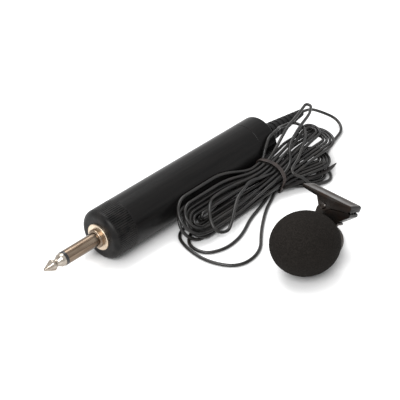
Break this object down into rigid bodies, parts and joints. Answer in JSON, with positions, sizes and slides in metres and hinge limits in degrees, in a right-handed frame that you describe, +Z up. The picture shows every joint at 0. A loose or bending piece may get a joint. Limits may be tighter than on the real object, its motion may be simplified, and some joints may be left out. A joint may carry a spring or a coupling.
{
  "type": "lavalier microphone",
  "caption": "Tie-clip electret microphone with a foam windscreen and a swivelling sprung clip, wired by a tied hank of thin cable to a battery barrel with a 6.35 mm jack plug.",
  "frame": {"origin": "on the table, under the middle of the barrel, boot, plug and microphone together, the free cable left out", "axes": "+Z up; the barrel lies along X with its plug pointing to -X; the microphone lies in front, towards -Y"},
  "size_m": [0.1889, 0.0964, 0.0298],
  "materials": {
    "barrel_black": "satin black",
    "cap_black": "satin black, ribbed grip",
    "boot_black": "matt",
    "cable_black": "soft sheen",
    "tie_brown": "soft sheen",
    "plug_metal": "polished nickel plate",
    "insulator_black": "gloss",
    "nut_metal": "plated",
    "brass": "bare",
    "battery_skin": null,
    "card": "card",
    "spring_steel": "bright",
    "fibre_board": "matt",
    "circuit_green": "matt",
    "component_blue": "gloss",
    "component_tan": "gloss",
    "mic_black": "satin black",
    "capsule_metal": "satin",
    "cup_rubber": "matt",
    "foam_black": "open-cell foam, dull",
    "clip_metal": "dark gunmetal plate"
  },
  "bodies": {
    "barrel": {"barrel_tube": "barrel_black", "rear_cap": "barrel_black", "cable_boot": "boot_black", "crimp_ring": "brass", "cable_in_boot": "cable_black", "battery_liner": "card", "battery_spring": "spring_steel", "rear_contact": "brass", "bulkhead": "fibre_board", "circuit_board": "circuit_green", "capacitor": "component_blue", "resistor": "component_tan", "cord_from_barrel": "cable_black", "cord_hank": "cable_black", "cord_to_mic": "cable_black", "cable_tie": "tie_brown", "mic_housing": "mic_black", "mic_grille": "mic_black", "capsule": "capsule_metal", "capsule_cup": "cup_rubber", "mic_boot": "boot_black", "cable_in_mic": "cable_black"},
    "carrier": {"contact_carrier": "fibre_board", "contact_rivet": "brass"},
    "cap": {"front_cap": "cap_black", "plug_sleeve": "plug_metal", "plug_washer": "plug_metal", "plug_insulator": "insulator_black", "plug_tip": "plug_metal", "plug_nut": "nut_metal", "solder_tag": "brass"},
    "cell": {"battery": "battery_skin"},
    "foam": {"windscreen": "foam_black"},
    "ring": {"ring_holder": "clip_metal", "swivel_rivet": "clip_metal"},
    "clip": {"lower_jaw": "clip_metal", "hinge_pin": "clip_metal", "clip_spring": "spring_steel"},
    "lever": {"upper_lever": "clip_metal", "spring_end": "spring_steel"}
  },
  "joints": [
    {"name": "cap_draw", "type": "slide", "parent": "barrel", "child": "carrier", "axis": [-1, 0, 0], "range_m": [0, 0.07]},
    {"name": "cap_turn", "type": "hinge", "parent": "carrier", "child": "cap", "pos_m": [-0.05387, 0.03651, 0.01168], "axis": [1, 0, 0], "range_deg": [0, 1441]},
    {"name": "battery_out", "type": "slide", "parent": "barrel", "child": "cell", "axis": [-1, 0, 0], "range_m": [0, 0.064]},
    {"name": "windscreen_pull", "type": "slide", "parent": "barrel", "child": "foam", "axis": [-0.9063, 0, 0.4226], "range_m": [0, 0.03]},
    {"name": "ring_turn", "type": "hinge", "parent": "barrel", "child": "ring", "pos_m": [0.01566, -0.03409, 0.00736], "axis": [0.9063, 0, -0.4226], "range_deg": [-45, 180]},
    {"name": "clip_swivel", "type": "hinge", "parent": "ring", "child": "clip", "pos_m": [0.01988, -0.03409, 0.01642], "axis": [-0.4226, 0, -0.9063], "range_deg": [-20, 90]},
    {"name": "jaw_open", "type": "hinge", "parent": "clip", "child": "lever", "pos_m": [0.02166, -0.02869, 0.02023], "axis": [-0.9063, 0, 0.4226], "range_deg": [0, 18], "stiffness_Nm_per_rad": 0.15, "springref_deg": -20.05}
  ],
  "couplings": [
    {"joint": "cap_turn", "follows": "cap_draw", "rad_per_m": 359.04},
    {"joint": "battery_out", "follows": "cap_draw", "ratio": 0.9}
  ]
}
